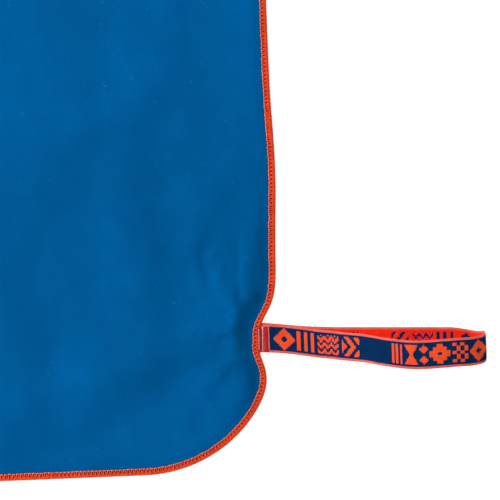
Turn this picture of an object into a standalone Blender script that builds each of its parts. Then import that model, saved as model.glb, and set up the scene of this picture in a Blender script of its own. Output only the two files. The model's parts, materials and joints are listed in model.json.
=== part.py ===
"""Quick dry towel: suede microfibre cloth with rounded corners, an overlocked edge and a hanging
loop of woven elastic caught in the seam near one corner.

The towel lies flat on its back. +X points out through the edge that carries the loop, +Y runs
along that edge and +Z points up. The origin is the middle of the cloth's underside. Everything
is in metres. Pieces that touch on the real towel stand a small clearance apart here.
"""

import math

import bmesh
import bpy
from mathutils import Matrix, Vector

MM = 0.001

# Cloth
TOWEL_WIDTH = 650 * MM
TOWEL_LENGTH = 900 * MM
CORNER_RADIUS = 75 * MM
CLOTH_THICKNESS = 0.7 * MM

# Clearance between two pieces that touch
CLEARANCE = 0.3 * MM

# Overlock stitch round the edge
STITCH_WIDTH = 3.6 * MM
THREAD_THICKNESS = 0.4 * MM
NEEDLE_CHAIN_WIDTH = 0.5 * MM
RIM_RAMP = 7 * MM

# Hanging loop
BAND_WIDTH = 15 * MM
BAND_THICKNESS = 0.8 * MM
LOOP_LENGTH = 122 * MM
LOOP_RISE = 13 * MM
LOOP_FROM_END = 71 * MM
LOOP_LEAN = 0.6
LOOP_DROOP_DEGREES = 2.2
LOOP_FLOOR_CLEARANCE = 0.35 * MM
HINGE_FROM_SEAM = 0.4 * MM

# Bar tack that holds the two strands of the loop together
TACK_LENGTH = 3 * MM
TACK_FROM_SEAM = 1 * MM
TACK_MARGIN = 1 * MM

# The loop draws the edge in where it is sewn
PINCH_DEPTH = 10 * MM
PINCH_FLAT = 4 * MM
PINCH_SPREAD = 15 * MM

# How finely curved stretches of the outline are divided
OUTLINE_STEP = 4 * MM

# Heights above the surface that the towel lies on
SEAM_TOP = 2 * THREAD_THICKNESS + 2 * CLEARANCE + CLOTH_THICKNESS
SEAM_MIDDLE = SEAM_TOP / 2
RIM_LIFT = THREAD_THICKNESS + CLEARANCE
ENDS_THICKNESS = 2 * BAND_THICKNESS
SEAM_LIFT_AT_LOOP = ENDS_THICKNESS + CLEARANCE
LIFT_FLAT = BAND_WIDTH / 2 + OUTLINE_STEP
LIFT_RAMP = 12 * MM

CLOTH_INSET = THREAD_THICKNESS + CLEARANCE
NEEDLE_INSET = STITCH_WIDTH + CLEARANCE
RIM_FLAT = NEEDLE_INSET + NEEDLE_CHAIN_WIDTH + CLEARANCE - CLOTH_INSET

LOOP_Y = LOOP_FROM_END - TOWEL_LENGTH / 2

# The loop's side view along the middle of the band, as (share of its length, share of its rise).
# The strands lie together near the seam and spring apart into a bulb at the far end.
UPPER_STRAND = (
    (0.17, 0.0),
    (0.29, 0.07),
    (0.43, 0.38),
    (0.55, 0.76),
    (0.67, 0.96),
    (0.80, 0.93),
    (0.91, 0.74),
    (0.985, 0.45),
)
LOWER_STRAND = (
    (0.994, 0.18),
    (0.95, 0.015),
    (0.88, 0.0),
    (0.60, 0.0),
    (0.20, 0.0),
)


def principled(name, colour, roughness):
    material = bpy.data.materials.new(name)
    material.use_nodes = True
    shader = material.node_tree.nodes["Principled BSDF"]
    shader.inputs["Base Color"].default_value = (*colour, 1)
    shader.inputs["Roughness"].default_value = roughness
    shader.inputs["Metallic"].default_value = 0
    material.diffuse_color = (*colour, 1)
    return material


def pinch(y):
    """How far the loop draws the edge in at this height along it."""
    away = max(abs(y - LOOP_Y) - PINCH_FLAT, 0)
    return PINCH_DEPTH * math.exp(-((away / PINCH_SPREAD) ** 2))


def seam_lift(x, y):
    """How far the seam climbs over the ends of the band."""
    if x < 0:
        return 0
    away = (abs(y - LOOP_Y) - LIFT_FLAT) / LIFT_RAMP
    return SEAM_LIFT_AT_LOOP * (1 + math.cos(math.pi * min(max(away, 0), 1))) / 2


def corner_points(side_x, side_y, start_degrees, inset):
    """A quarter circle, counter-clockwise, about one corner's centre."""
    centre_x = side_x * (TOWEL_WIDTH / 2 - CORNER_RADIUS)
    centre_y = side_y * (TOWEL_LENGTH / 2 - CORNER_RADIUS)
    radius = CORNER_RADIUS - inset
    steps = math.ceil(CORNER_RADIUS * math.pi / 2 / OUTLINE_STEP)
    points = []
    for step in range(steps + 1):
        angle = math.radians(start_degrees + 90 * step / steps)
        points.append((centre_x + radius * math.cos(angle), centre_y + radius * math.sin(angle)))
    return points


def edge_points_by_loop(inset):
    """The straight edge above the corner, as far as the loop disturbs it."""
    start = CORNER_RADIUS - TOWEL_LENGTH / 2
    reach = LOOP_Y + PINCH_FLAT + 3 * PINCH_SPREAD - start
    steps = max(math.ceil(reach / OUTLINE_STEP), 1)
    return [(TOWEL_WIDTH / 2 - inset, start + OUTLINE_STEP * (step + 1)) for step in range(steps)]


def towel_outline(inset=0):
    """The towel's outline, counter-clockwise from the corner below the loop."""
    points = corner_points(1, -1, -90, inset)
    points += edge_points_by_loop(inset)
    points += corner_points(1, 1, 0, inset)
    points += corner_points(-1, 1, 90, inset)
    points += corner_points(-1, -1, 180, inset)
    return [(x - pinch(y) if x > 0 else x, y) for x, y in points]


def edge_x(y):
    """Where the edge on the loop's side runs at this height along it."""
    into_corner = max(CORNER_RADIUS - TOWEL_LENGTH / 2 - y, 0)
    corner_loss = CORNER_RADIUS - math.sqrt(CORNER_RADIUS**2 - into_corner**2)
    return TOWEL_WIDTH / 2 - corner_loss - pinch(y)


EDGE_X = edge_x(LOOP_Y)
SEAM_OUT_X = max(edge_x(LOOP_Y - BAND_WIDTH / 2), EDGE_X, edge_x(LOOP_Y + BAND_WIDTH / 2))
HINGE_X = SEAM_OUT_X + HINGE_FROM_SEAM
HINGE_Z = SEAM_TOP + SEAM_LIFT_AT_LOOP + CLEARANCE
STRAND_Z = LOOP_FLOOR_CLEARANCE + BAND_THICKNESS / 2
LOWER_ROOT_Z = 2 * CLEARANCE + THREAD_THICKNESS + BAND_THICKNESS / 2
UPPER_ROOT_Z = LOWER_ROOT_Z + BAND_THICKNESS + CLEARANCE


def linked(obj, collection, material):
    """Put a new object in a collection, with its material."""
    for holder in list(obj.users_collection):
        holder.objects.unlink(obj)
    collection.objects.link(obj)
    if material:
        obj.data.materials.append(material)
    return obj


def mesh_object(name, bm, collection, material):
    mesh = bpy.data.meshes.new(name)
    bm.to_mesh(mesh)
    bm.free()
    return linked(bpy.data.objects.new(name, mesh), collection, material)


def box(name, low, high, collection, material):
    """A plain box between two corners."""
    low, high = Vector(low), Vector(high)
    bm = bmesh.new()
    bmesh.ops.create_cube(bm, size=1)
    bmesh.ops.scale(bm, vec=high - low, verts=bm.verts)
    bmesh.ops.translate(bm, vec=(high + low) / 2, verts=bm.verts)
    return mesh_object(name, bm, collection, material)


def curve_object(name, points, collection, material, cyclic=False):
    curve = bpy.data.curves.new(name, "CURVE")
    curve.dimensions = "3D"
    curve.twist_mode = "Z_UP"
    spline = curve.splines.new("POLY")
    spline.points.add(len(points) - 1)
    for point, place in zip(spline.points, points):
        point.co = (*place, 1)
    spline.use_cyclic_u = cyclic
    return linked(bpy.data.objects.new(name, curve), collection, material)


def as_mesh(obj):
    """Turn a curve object into a mesh object of the same name, with its seams closed."""
    graph = bpy.context.evaluated_depsgraph_get()
    mesh = bpy.data.meshes.new_from_object(obj.evaluated_get(graph))
    bm = bmesh.new()
    bm.from_mesh(mesh)
    bmesh.ops.remove_doubles(bm, verts=bm.verts, dist=0.00001)
    bmesh.ops.recalc_face_normals(bm, faces=bm.faces)
    bm.to_mesh(mesh)
    bm.free()
    name = obj.name
    holder = obj.users_collection[0]
    matrix = obj.matrix_world.copy()
    bpy.data.objects.remove(obj)
    made = bpy.data.objects.new(name, mesh)
    made.matrix_world = matrix
    holder.objects.link(made)
    return made


def edging(name, section, lift, collection, guides, material):
    """A thread layer: its section, (distance in from the edge, height), run round the outline."""
    profile_points = [(-inset, height, 0) for inset, height in section]
    profile = curve_object(name + "_section", profile_points, guides, None, cyclic=True)
    profile.data.dimensions = "2D"
    profile.hide_render = True
    path = [(x, y, lift(x, y)) for x, y in towel_outline()]
    layer = curve_object(name, path, collection, material, cyclic=True)
    layer.data.bevel_mode = "OBJECT"
    layer.data.bevel_object = profile
    return as_mesh(layer)


def make_panel(collection, material):
    """The cloth: flat underneath, with a rim that climbs over the thread below it."""
    bm = bmesh.new()
    corners = [bm.verts.new((x, y, 0)) for x, y in towel_outline(CLOTH_INSET)]
    middle = bm.faces.new(corners)
    bm.normal_update()
    for width in (RIM_FLAT, RIM_RAMP):
        bmesh.ops.inset_region(
            bm, faces=[middle], thickness=width, use_even_offset=True, use_boundary=True
        )
    for vert in set(bm.verts) - set(middle.verts):
        vert.co.z = RIM_LIFT + seam_lift(vert.co.x, vert.co.y)
    panel = mesh_object("towel_panel", bm, collection, material)
    thickness = panel.modifiers.new("Cloth thickness", "SOLIDIFY")
    thickness.thickness = CLOTH_THICKNESS
    thickness.offset = 1
    return panel


def make_upper_thread(collection, guides, material):
    """Looper thread over the face of the cloth, turned down over the edge."""
    leg = SEAM_MIDDLE + CLEARANCE / 2
    inner = SEAM_TOP - THREAD_THICKNESS
    section = (
        (0, leg),
        (THREAD_THICKNESS, leg),
        (THREAD_THICKNESS, inner),
        (STITCH_WIDTH, inner),
        (STITCH_WIDTH, SEAM_TOP),
        (0, SEAM_TOP),
    )
    return edging("overlock_upper_thread", section, seam_lift, collection, guides, material)


def make_lower_thread(collection, guides, cutters, material):
    """Looper thread under the cloth, turned up over the edge except where the band leaves it."""
    leg = SEAM_MIDDLE - CLEARANCE / 2
    section = (
        (0, 0),
        (STITCH_WIDTH, 0),
        (STITCH_WIDTH, THREAD_THICKNESS),
        (THREAD_THICKNESS, THREAD_THICKNESS),
        (THREAD_THICKNESS, leg),
        (0, leg),
    )
    layer = edging("overlock_lower_thread", section, lambda x, y: 0, collection, guides, material)
    half = BAND_WIDTH / 2 + CLEARANCE
    low = (EDGE_X - STITCH_WIDTH, LOOP_Y - half, THREAD_THICKNESS + CLEARANCE / 3)
    high = (HINGE_X + STITCH_WIDTH, LOOP_Y + half, SEAM_TOP + SEAM_LIFT_AT_LOOP)
    cutter = box("band_notch", low, high, cutters, None)
    cutter.hide_render = True
    cutter.display_type = "WIRE"
    notch = layer.modifiers.new("Notch for the band", "BOOLEAN")
    notch.operation = "DIFFERENCE"
    notch.object = cutter
    return layer


def make_needle_thread(collection, guides, material):
    """Chain of the needle thread along the inner side of the stitches."""
    low = SEAM_TOP - THREAD_THICKNESS
    far = NEEDLE_INSET + NEEDLE_CHAIN_WIDTH
    section = ((NEEDLE_INSET, low), (far, low), (far, SEAM_TOP), (NEEDLE_INSET, SEAM_TOP))
    return edging("overlock_needle_thread", section, seam_lift, collection, guides, material)


def loop_side_points():
    """The band's middle line in side view, as (x from the root, height)."""
    length = LOOP_LENGTH - (HINGE_X - EDGE_X) - BAND_THICKNESS / 2
    tack_end = TACK_FROM_SEAM + TACK_LENGTH + CLEARANCE
    root = CLEARANCE / 2
    resting = STRAND_Z + BAND_THICKNESS + CLEARANCE
    points = [(root, UPPER_ROOT_Z), (tack_end, UPPER_ROOT_Z)]
    for out, up in UPPER_STRAND:
        points.append((out * length, resting + (STRAND_Z - resting) * out + up * LOOP_RISE))
    for out, up in LOWER_STRAND:
        points.append((out * length, STRAND_Z + up * LOOP_RISE))
    return points + [(tack_end, LOWER_ROOT_Z), (root, LOWER_ROOT_Z)]


def make_loop_band(collection, material):
    """The free part of the band: a flat ribbon bent round, leaning towards the towel's end."""
    curve = bpy.data.curves.new("loop_band", "CURVE")
    curve.dimensions = "2D"
    curve.fill_mode = "NONE"
    curve.resolution_u = 6
    curve.extrude = BAND_WIDTH / 2
    spline = curve.splines.new("BEZIER")
    side = loop_side_points()
    spline.bezier_points.add(len(side) - 1)
    for point, (out, height) in zip(spline.bezier_points, side):
        point.co = (out, height, 0)
        point.handle_left_type = "AUTO"
        point.handle_right_type = "AUTO"
    ribbon = linked(bpy.data.objects.new("loop_band", curve), collection, material)
    ribbon.matrix_world = Matrix.Rotation(math.pi / 2, 4, "X")
    bpy.context.view_layer.update()
    band = as_mesh(ribbon)
    band.data.transform(band.matrix_world)
    droop = math.tan(math.radians(LOOP_DROOP_DEGREES))
    for vert in band.data.vertices:
        vert.co.y -= droop * vert.co.x + LOOP_LEAN * max(vert.co.z - UPPER_ROOT_Z, 0)
    band.data.transform(Matrix.Translation((0, 0, -HINGE_Z)))
    band.matrix_world = Matrix.Translation((HINGE_X, LOOP_Y, HINGE_Z))
    thickness = band.modifiers.new("Band thickness", "SOLIDIFY")
    thickness.thickness = BAND_THICKNESS
    thickness.offset = 0
    thickness.use_even_offset = True
    return band


def make_band_ends(collection, material):
    """The two ends of the band, one on the other, caught under the seam."""
    low_z = RIM_LIFT
    low = (EDGE_X - STITCH_WIDTH + CLEARANCE, LOOP_Y - BAND_WIDTH / 2, low_z)
    high = (HINGE_X - CLEARANCE / 2, LOOP_Y + BAND_WIDTH / 2, low_z + ENDS_THICKNESS)
    return box("loop_band_ends", low, high, collection, material)


def make_tack(name, low_z, collection, material):
    """One layer of the bar tack, across the band just outside the seam."""
    half = BAND_WIDTH / 2 - TACK_MARGIN
    near = HINGE_X + TACK_FROM_SEAM
    low = (near, LOOP_Y - half, low_z)
    high = (near + TACK_LENGTH, LOOP_Y + half, low_z + THREAD_THICKNESS)
    return box(name, low, high, collection, material)


def hang_on_seam(pieces, collection):
    """Parent the loop's pieces to an empty on the line that the loop swings about."""
    seam = bpy.data.objects.new("loop_seam_line", None)
    seam.location = (HINGE_X, LOOP_Y, HINGE_Z)
    collection.objects.link(seam)
    bpy.context.view_layer.update()
    for piece in pieces:
        placed = piece.matrix_world.copy()
        piece.parent = seam
        piece.matrix_parent_inverse = seam.matrix_world.inverted()
        piece.matrix_world = placed


def collection_named(name, hidden=False):
    collection = bpy.data.collections.new(name)
    bpy.context.scene.collection.children.link(collection)
    collection.hide_render = hidden
    return collection


def main():
    for obj in list(bpy.data.objects):
        bpy.data.objects.remove(obj)
    towel = collection_named("quick_dry_towel")
    guides = collection_named("guides", hidden=True)
    cutters = collection_named("cutters", hidden=True)

    cloth = principled("Blue suede microfibre", (0.001, 0.096, 0.323), 0.95)
    orange = principled("Orange overlock thread", (0.75, 0.10, 0.025), 0.6)
    pale = principled("Light orange needle thread", (0.83, 0.20, 0.12), 0.6)
    band = principled("Navy woven elastic", (0.004, 0.030, 0.130), 0.75)
    crimson = principled("Crimson tack thread", (0.55, 0.03, 0.035), 0.55)

    make_panel(towel, cloth)
    make_upper_thread(towel, guides, orange)
    make_lower_thread(towel, guides, cutters, orange)
    make_needle_thread(towel, guides, pale)
    make_band_ends(towel, band)
    loop = make_loop_band(towel, band)
    top_z = UPPER_ROOT_Z + BAND_THICKNESS / 2 + CLEARANCE
    bottom_z = LOWER_ROOT_Z - BAND_THICKNESS / 2 - CLEARANCE - THREAD_THICKNESS
    top = make_tack("tack_top_thread", top_z, towel, crimson)
    bottom = make_tack("tack_bobbin_thread", bottom_z, towel, crimson)
    hang_on_seam((loop, top, bottom), towel)


main()
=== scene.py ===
"""Quick dry towel: the looks of the cloth, its overlocked edge and its hanging loop.

An add-on in layout, run as a script. Each operator makes one piece or a group of like pieces
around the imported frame. Everything is in metres, with +Z up and the towel lying on its back.
"""

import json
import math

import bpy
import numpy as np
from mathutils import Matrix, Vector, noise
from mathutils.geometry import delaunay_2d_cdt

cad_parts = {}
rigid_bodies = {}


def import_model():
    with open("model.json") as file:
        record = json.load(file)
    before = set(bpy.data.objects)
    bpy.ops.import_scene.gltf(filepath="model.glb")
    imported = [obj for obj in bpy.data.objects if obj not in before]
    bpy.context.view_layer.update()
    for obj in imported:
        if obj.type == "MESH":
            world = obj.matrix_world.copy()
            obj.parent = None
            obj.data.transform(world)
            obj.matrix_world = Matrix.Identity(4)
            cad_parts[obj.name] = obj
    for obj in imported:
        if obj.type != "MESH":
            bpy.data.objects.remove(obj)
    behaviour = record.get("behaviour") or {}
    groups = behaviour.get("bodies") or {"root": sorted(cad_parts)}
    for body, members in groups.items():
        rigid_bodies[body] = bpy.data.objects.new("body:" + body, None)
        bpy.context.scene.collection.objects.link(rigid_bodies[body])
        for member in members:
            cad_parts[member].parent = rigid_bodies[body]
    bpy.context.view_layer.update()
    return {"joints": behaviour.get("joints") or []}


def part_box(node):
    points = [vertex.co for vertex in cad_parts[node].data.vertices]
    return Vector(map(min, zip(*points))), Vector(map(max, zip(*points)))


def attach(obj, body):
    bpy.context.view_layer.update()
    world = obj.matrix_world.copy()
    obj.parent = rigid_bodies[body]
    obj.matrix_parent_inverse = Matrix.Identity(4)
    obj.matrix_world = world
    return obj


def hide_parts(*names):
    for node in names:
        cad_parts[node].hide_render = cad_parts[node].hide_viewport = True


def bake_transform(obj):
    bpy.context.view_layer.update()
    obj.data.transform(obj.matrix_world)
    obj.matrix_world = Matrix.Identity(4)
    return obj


bl_info = {
    "name": "Quick dry towel",
    "version": (1, 0, 0),
    "blender": (4, 5, 0),
    "location": "View3D > Sidebar > Towel",
    "description": "Makes a suede microfibre towel with an overlocked edge and a hanging loop",
    "category": "Object",
}

for leftover in list(bpy.data.objects):
    bpy.data.objects.remove(leftover)

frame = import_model()

MM = 0.001

# Places and sizes that the frame gives
EDGE_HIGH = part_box("overlock_upper_thread")[1]
ENDS_LOW, ENDS_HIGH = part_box("loop_band_ends")
LOOP_LOW, LOOP_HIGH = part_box("loop_band")
TACK_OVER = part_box("tack_top_thread")[0]
TACK_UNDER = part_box("tack_bobbin_thread")[1]
SWING = frame["joints"][0]
HALF_WIDTH = EDGE_HIGH.x
HALF_LENGTH = EDGE_HIGH.y
LOOP_Y = (ENDS_LOW.y + ENDS_HIGH.y) / 2
BAND_WIDTH = ENDS_HIGH.y - ENDS_LOW.y
BAND_THICKNESS = (ENDS_HIGH.z - ENDS_LOW.z) / 2
HINGE_X = SWING["pos_m"][0]
TACK_GAP = 0.3 * MM

# The outline: rounded corners, and an edge that the loop draws in
CORNER_RADIUS = 75 * MM
PINCH_DEPTH = 10 * MM
PINCH_FLAT = 4 * MM
PINCH_SPREAD = 15 * MM
PINCH_REACH = 34 * MM
GATHER = 0.10
GATHER_REACH = 30 * MM
BOW = 1.5 * MM
BOW_Y = LOOP_Y + 91 * MM
BOW_REACH = 31 * MM

# The rim lies on the thread below it, and climbs over the ends of the band
RIM_LIFT = 0.6 * MM
RIM_FLAT = 4.6 * MM
RIM_RAMP = 9 * MM
SEAM_LIFT = 1.8 * MM
SEAM_LIFT_FLAT = BAND_WIDTH / 2 + 2 * MM
SEAM_LIFT_RAMP = 12 * MM

# The cloth ends this far inside the stitches, and the needle thread runs this far in
CLOTH_INSET = 0.75 * MM
STITCH_WIDTH = 3.6 * MM


def smooth_step(value, start, end):
    """0 before start, 1 after end, and a smooth climb between them."""
    share = min(max((value - start) / (end - start), 0), 1)
    return share * share * (3 - 2 * share)


def bell(distance, spread):
    """1 at no distance, falling away smoothly over the spread."""
    return math.exp(-((distance / spread) ** 2))


# ---------------------------------------------------------------- settings


def length(name, description, default):
    """A length, which the panel shows in the scene's unit."""
    return bpy.props.FloatProperty(
        name=name, description=description, default=default, precision=5, unit="LENGTH"
    )


def angle(name, description, degrees):
    """An angle, which the panel shows in degrees."""
    return bpy.props.FloatProperty(
        name=name, description=description, default=math.radians(degrees), subtype="ANGLE"
    )


def dyed(name, description, default):
    """A colour, which the panel shows as a swatch."""
    return bpy.props.FloatVectorProperty(
        name=name, description=description, default=default, size=3, subtype="COLOR"
    )


class TowelClothSettings(bpy.types.PropertyGroup):
    """Sizes and colours of the cloth."""

    thickness: length("Thickness", "Thickness of the suede microfibre", 0.7 * MM)
    spacing: length("Mesh spacing", "Distance between neighbouring points of the cloth's mesh", 6.5 * MM)
    fine_spacing: length("Spacing at the loop", "Distance between points where the loop puckers", 2 * MM)
    wave_height: length("Wave height", "Height of the soft waves that folding has left", 3.6 * MM)
    fullness: length("Fullness", "Height of the cloth inside its rim before it settles", 2 * MM)
    swell: length("Swell", "Height that the cloth swells up by beside the tight stitches", 0.8 * MM)
    pucker: length("Pucker", "Height of the puckers that run out from the loop's seam", 0.8 * MM)
    ease: bpy.props.FloatProperty(
        name="Ease",
        description="Share by which the cut cloth is larger than the space it lies in",
        default=0.0005,
        precision=4,
    )
    settle_frames: bpy.props.IntProperty(
        name="Settling frames",
        description="Frames of simulation in which the cloth settles on the floor",
        default=40,
    )
    colour: dyed("Colour", "Colour of the dyed cloth", (0.0003, 0.086, 0.262))


class TowelOverlockSettings(bpy.types.PropertyGroup):
    """Sizes and colours of the overlocked edge."""

    pitch: length("Pitch", "Length of one stitch along the edge", 2.13 * MM)
    width: length("Width", "Distance from the edge to the line of the needle thread", STITCH_WIDTH)
    looper_radius: length("Looper thread radius", "Radius of the thread that covers the edge", 0.34 * MM)
    needle_radius: length("Needle thread radius", "Radius of the thread along the inner side", 0.22 * MM)
    start: length("Start of the seam", "Distance of the seam's start from the lower end", 182 * MM)
    overlap: length("Overlap", "Length that the seam's end is sewn over its start", 12 * MM)
    colour: dyed("Looper colour", "Colour of the thread that covers the edge", (0.84, 0.064, 0.006))
    # The sheet under the stitches stands for spread fibres; its dark colour is painted shade between the
    # stitches.
    cover_shade_colour: dyed(
        "Colour between the stitches",
        "Colour of the spread fibres that fill the space between the stitches",
        (0.21, 0.007, 0.003),
    )
    needle_colour: dyed("Needle thread colour", "Colour of the needle thread", (0.80, 0.22, 0.15))


class TowelLoopSettings(bpy.types.PropertyGroup):
    """Sizes and colours of the hanging loop."""

    rise: length("Rise", "Height that the upper strand springs up by", 13 * MM)
    lean: bpy.props.FloatProperty(
        name="Lean",
        description="How far the loop leans sideways for each unit that it rises",
        default=0.6,
    )
    droop: angle("Droop", "Angle by which the loop points towards the towel's lower end", 2.2)
    cell: length("Weave cell", "Size of one cell of the woven pattern", 0.4 * MM)
    relief: length("Relief", "Height of the figured yarn over the ground of the band", 0.1 * MM)
    ground_colour: dyed("Ground colour", "Ground on the outside of the band", (0.0005, 0.022, 0.082))
    figure_colour: dyed("Figure colour", "Colour of the woven figures", (0.88, 0.085, 0.018))
    inside_colour: dyed("Inside colour", "Ground on the inside of the band", (0.90, 0.024, 0.006))
    selvedge_colour: dyed("Selvedge colour", "Colour of the band's two edges", (0.78, 0.13, 0.10))
    tack_colour: dyed("Tack colour", "Close stitches that hold the loop together", (0.50, 0.014, 0.022))
    pale_colour: dyed("Lockstitch colour", "Two thin lines of stitches at the root", (0.95, 0.50, 0.46))


class TowelStageSettings(bpy.types.PropertyGroup):
    """The floor, the lights and the camera."""

    framed_width: length("Framed width", "Width of the floor that the camera takes in", 270 * MM)
    lens: bpy.props.FloatProperty(
        name="Lens",
        description="Focal length of the camera",
        default=85,
        unit="CAMERA",
    )
    roll: angle("Roll", "Angle by which the towel looks turned in the picture", 2.2)


# ---------------------------------------------------------------- meshes


def object_from(name, points, faces, material):
    """A smooth-shaded mesh object from points and faces."""
    mesh = bpy.data.meshes.new(name)
    mesh.from_pydata([tuple(point) for point in points], [], [tuple(face) for face in faces])
    mesh.polygons.foreach_set("use_smooth", [True] * len(mesh.polygons))
    mesh.update()
    made = bpy.data.objects.new(name, mesh)
    bpy.context.scene.collection.objects.link(made)
    mesh.materials.append(material)
    return made


def unit(vectors):
    """Each row at length 1."""
    return vectors / np.maximum(np.linalg.norm(vectors, axis=-1, keepdims=True), 1e-12)


def lengths_along(path):
    """Distance of each point of a path from its start, measured along it."""
    steps = np.linalg.norm(np.diff(path, axis=0), axis=1)
    return np.concatenate(([0], np.cumsum(steps)))


TUBE_SIDES = 6


def thread_tube(path, radius):
    """Points, faces and (along, around) coordinates of a capped tube along a path."""
    sides = TUBE_SIDES
    path = np.asarray(path, float)
    tangents = unit(np.gradient(path, axis=0))
    normal = np.cross(tangents[0], (0.3, 0.5, 0.81))
    normal /= np.linalg.norm(normal)
    normals = np.empty_like(path)
    for index, tangent in enumerate(tangents):
        normal = normal - tangent * normal.dot(tangent)
        normal /= math.sqrt(normal.dot(normal))
        normals[index] = normal
    binormals = np.cross(tangents, normals)
    angles = np.arange(sides) * (2 * math.pi / sides)
    rings = (
        path[:, None, :]
        + radius * np.cos(angles)[None, :, None] * normals[:, None, :]
        + radius * np.sin(angles)[None, :, None] * binormals[:, None, :]
    )
    count = len(path)
    here = (np.arange(count - 1)[:, None] * sides + np.arange(sides)[None, :]).ravel()
    turn = (np.arange(count - 1)[:, None] * sides + (np.arange(sides) + 1)[None, :] % sides).ravel()
    faces = np.column_stack((here, turn, turn + sides, here + sides)).tolist()
    faces.append(list(range(sides))[::-1])
    faces.append(list(range((count - 1) * sides, count * sides)))
    along = np.repeat(lengths_along(path), sides)
    around = np.tile(angles / (2 * math.pi), count)
    return rings.reshape(-1, 3), faces, np.column_stack((along, around))


def thread_object(name, path, radius, material):
    """A thread as one tube, with its length and its turn kept as a vector on its points."""
    points, faces, coordinates = thread_tube(path, radius)
    made = object_from(name, points, faces, material)
    keep_vector(made, "thread_place", coordinates)
    return made


def keep_vector(made, name, coordinates):
    """Store two coordinates per point as a named vector attribute."""
    layer = made.data.attributes.new(name, "FLOAT_VECTOR", "POINT")
    rows = np.zeros((len(coordinates), 3), np.float32)
    rows[:, :2] = coordinates
    layer.data.foreach_set("vector", rows.ravel())


def smooth_path(points, samples):
    """A Catmull-Rom curve through the points, with this many samples for each stretch."""
    points = np.asarray(points, float)
    padded = np.vstack((2 * points[0] - points[1], points, 2 * points[-1] - points[-2]))
    shares = np.arange(samples) / samples
    found = []
    for index in range(len(points) - 1):
        found.append(catmull_rom(padded[index : index + 4], shares))
    return np.vstack(found + [points[-1:]])


def catmull_rom(four, shares):
    """Points between the middle two of four, at these shares of the way."""
    t = np.asarray(shares)[:, None]
    a, b, c, d = four
    return 0.5 * (
        2 * b + (c - a) * t + (2 * a - 5 * b + 4 * c - d) * t**2 + (3 * b - a - 3 * c + d) * t**3
    )


def spaced(path, step):
    """The path again, with points this far apart along it."""
    along = lengths_along(path)
    count = max(int(round(along[-1] / step)), 2)
    targets = np.linspace(0, along[-1], count + 1)
    return np.column_stack([np.interp(targets, along, path[:, axis]) for axis in range(3)])


# ---------------------------------------------------------------- shader groups


def feed(tree, socket, value):
    """Link a socket to this input, or set the input to a number or a colour."""
    if isinstance(value, bpy.types.NodeSocket):
        tree.links.new(value, socket)
    elif socket.type == "RGBA":
        socket.default_value = (*value[:3], 1)
    else:
        socket.default_value = value


def added(tree, kind, inputs, **settings):
    """A new node of this kind, with its settings made and its inputs fed."""
    node = tree.nodes.new(kind)
    for name, value in settings.items():
        setattr(node, name, value)
    for name, value in inputs.items():
        feed(tree, node.inputs[name], value)
    return node


def maths(tree, operation, *values):
    """The output of a Math node whose inputs are sockets or numbers."""
    return added(tree, "ShaderNodeMath", dict(enumerate(values)), operation=operation).outputs[0]


def limited(tree, value, gain, offset, highest):
    """A value times the gain plus the offset, kept between 0 and the highest."""
    changed = maths(tree, "MULTIPLY_ADD", value, gain, offset)
    return maths(tree, "MINIMUM", maths(tree, "MAXIMUM", changed, 0.0), highest)


def mixed(tree, factor, first, second):
    """The output of a colour Mix node whose inputs are sockets, numbers or colours."""
    inputs = {0: factor, 6: first, 7: second}
    return added(tree, "ShaderNodeMix", inputs, data_type="RGBA").outputs[2]


def noise_value(tree, vector, scale, detail, roughness=0.5):
    """The value of a Noise Texture node."""
    inputs = {"Vector": vector, "Scale": scale, "Detail": detail, "Roughness": roughness}
    return added(tree, "ShaderNodeTexNoise", inputs).outputs["Fac"]


def new_group(name, inputs, outputs):
    """A shader node group with the named inputs and outputs. Returns it and its two end nodes."""
    group = bpy.data.node_groups.new(name, "ShaderNodeTree")
    for socket, kind, default in inputs:
        made = group.interface.new_socket(socket, in_out="INPUT", socket_type="NodeSocket" + kind)
        if default is not None:
            made.default_value = default
    for socket, kind in outputs:
        group.interface.new_socket(socket, in_out="OUTPUT", socket_type="NodeSocket" + kind)
    return group, group.nodes.new("NodeGroupInput").outputs, group.nodes.new("NodeGroupOutput").inputs


def dye_group():
    """Uneven dye: a colour that drifts a little darker and lighter over the piece."""
    inputs = (
        ("Colour", "Color", (0.5, 0.5, 0.5, 1)),
        ("Place", "Vector", None),
        ("Scale", "Float", 8.0),
        ("Amount", "Float", 0.2),
    )
    group, given, result = new_group("Uneven dye", inputs, (("Colour", "Color"),))
    broad = noise_value(group, given["Place"], given["Scale"], 3)
    swing = maths(group, "MULTIPLY", maths(group, "SUBTRACT", broad, 0.5), given["Amount"])
    gain = maths(group, "MULTIPLY_ADD", swing, 2.0, 1.0)
    inputs = {0: given["Colour"], "Scale": gain}
    scaled = added(group, "ShaderNodeVectorMath", inputs, operation="SCALE")
    feed(group, result["Colour"], scaled.outputs[0])
    return group


def nap_group():
    """Short brushed fibres: fine height and a mask of the strokes that hands leave in them."""
    inputs = (
        ("Place", "Vector", None),
        ("Fibre scale", "Float", 1600.0),
        ("Stroke scale", "Float", 14.0),
    )
    outputs = (("Height", "Float"), ("Strokes", "Float"))
    group, given, result = new_group("Brushed nap", inputs, outputs)
    fine = noise_value(group, given["Place"], given["Fibre scale"], 2, 0.7)
    inputs = {"Scale": (1.0, 0.45, 1.0), "Rotation": (0, 0, 0.5), "Vector": given["Place"]}
    stretched = added(group, "ShaderNodeMapping", inputs).outputs[0]
    strokes = noise_value(group, stretched, given["Stroke scale"], 4, 0.55)
    feed(group, result["Height"], fine)
    feed(group, result["Strokes"], strokes)
    return group


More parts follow.
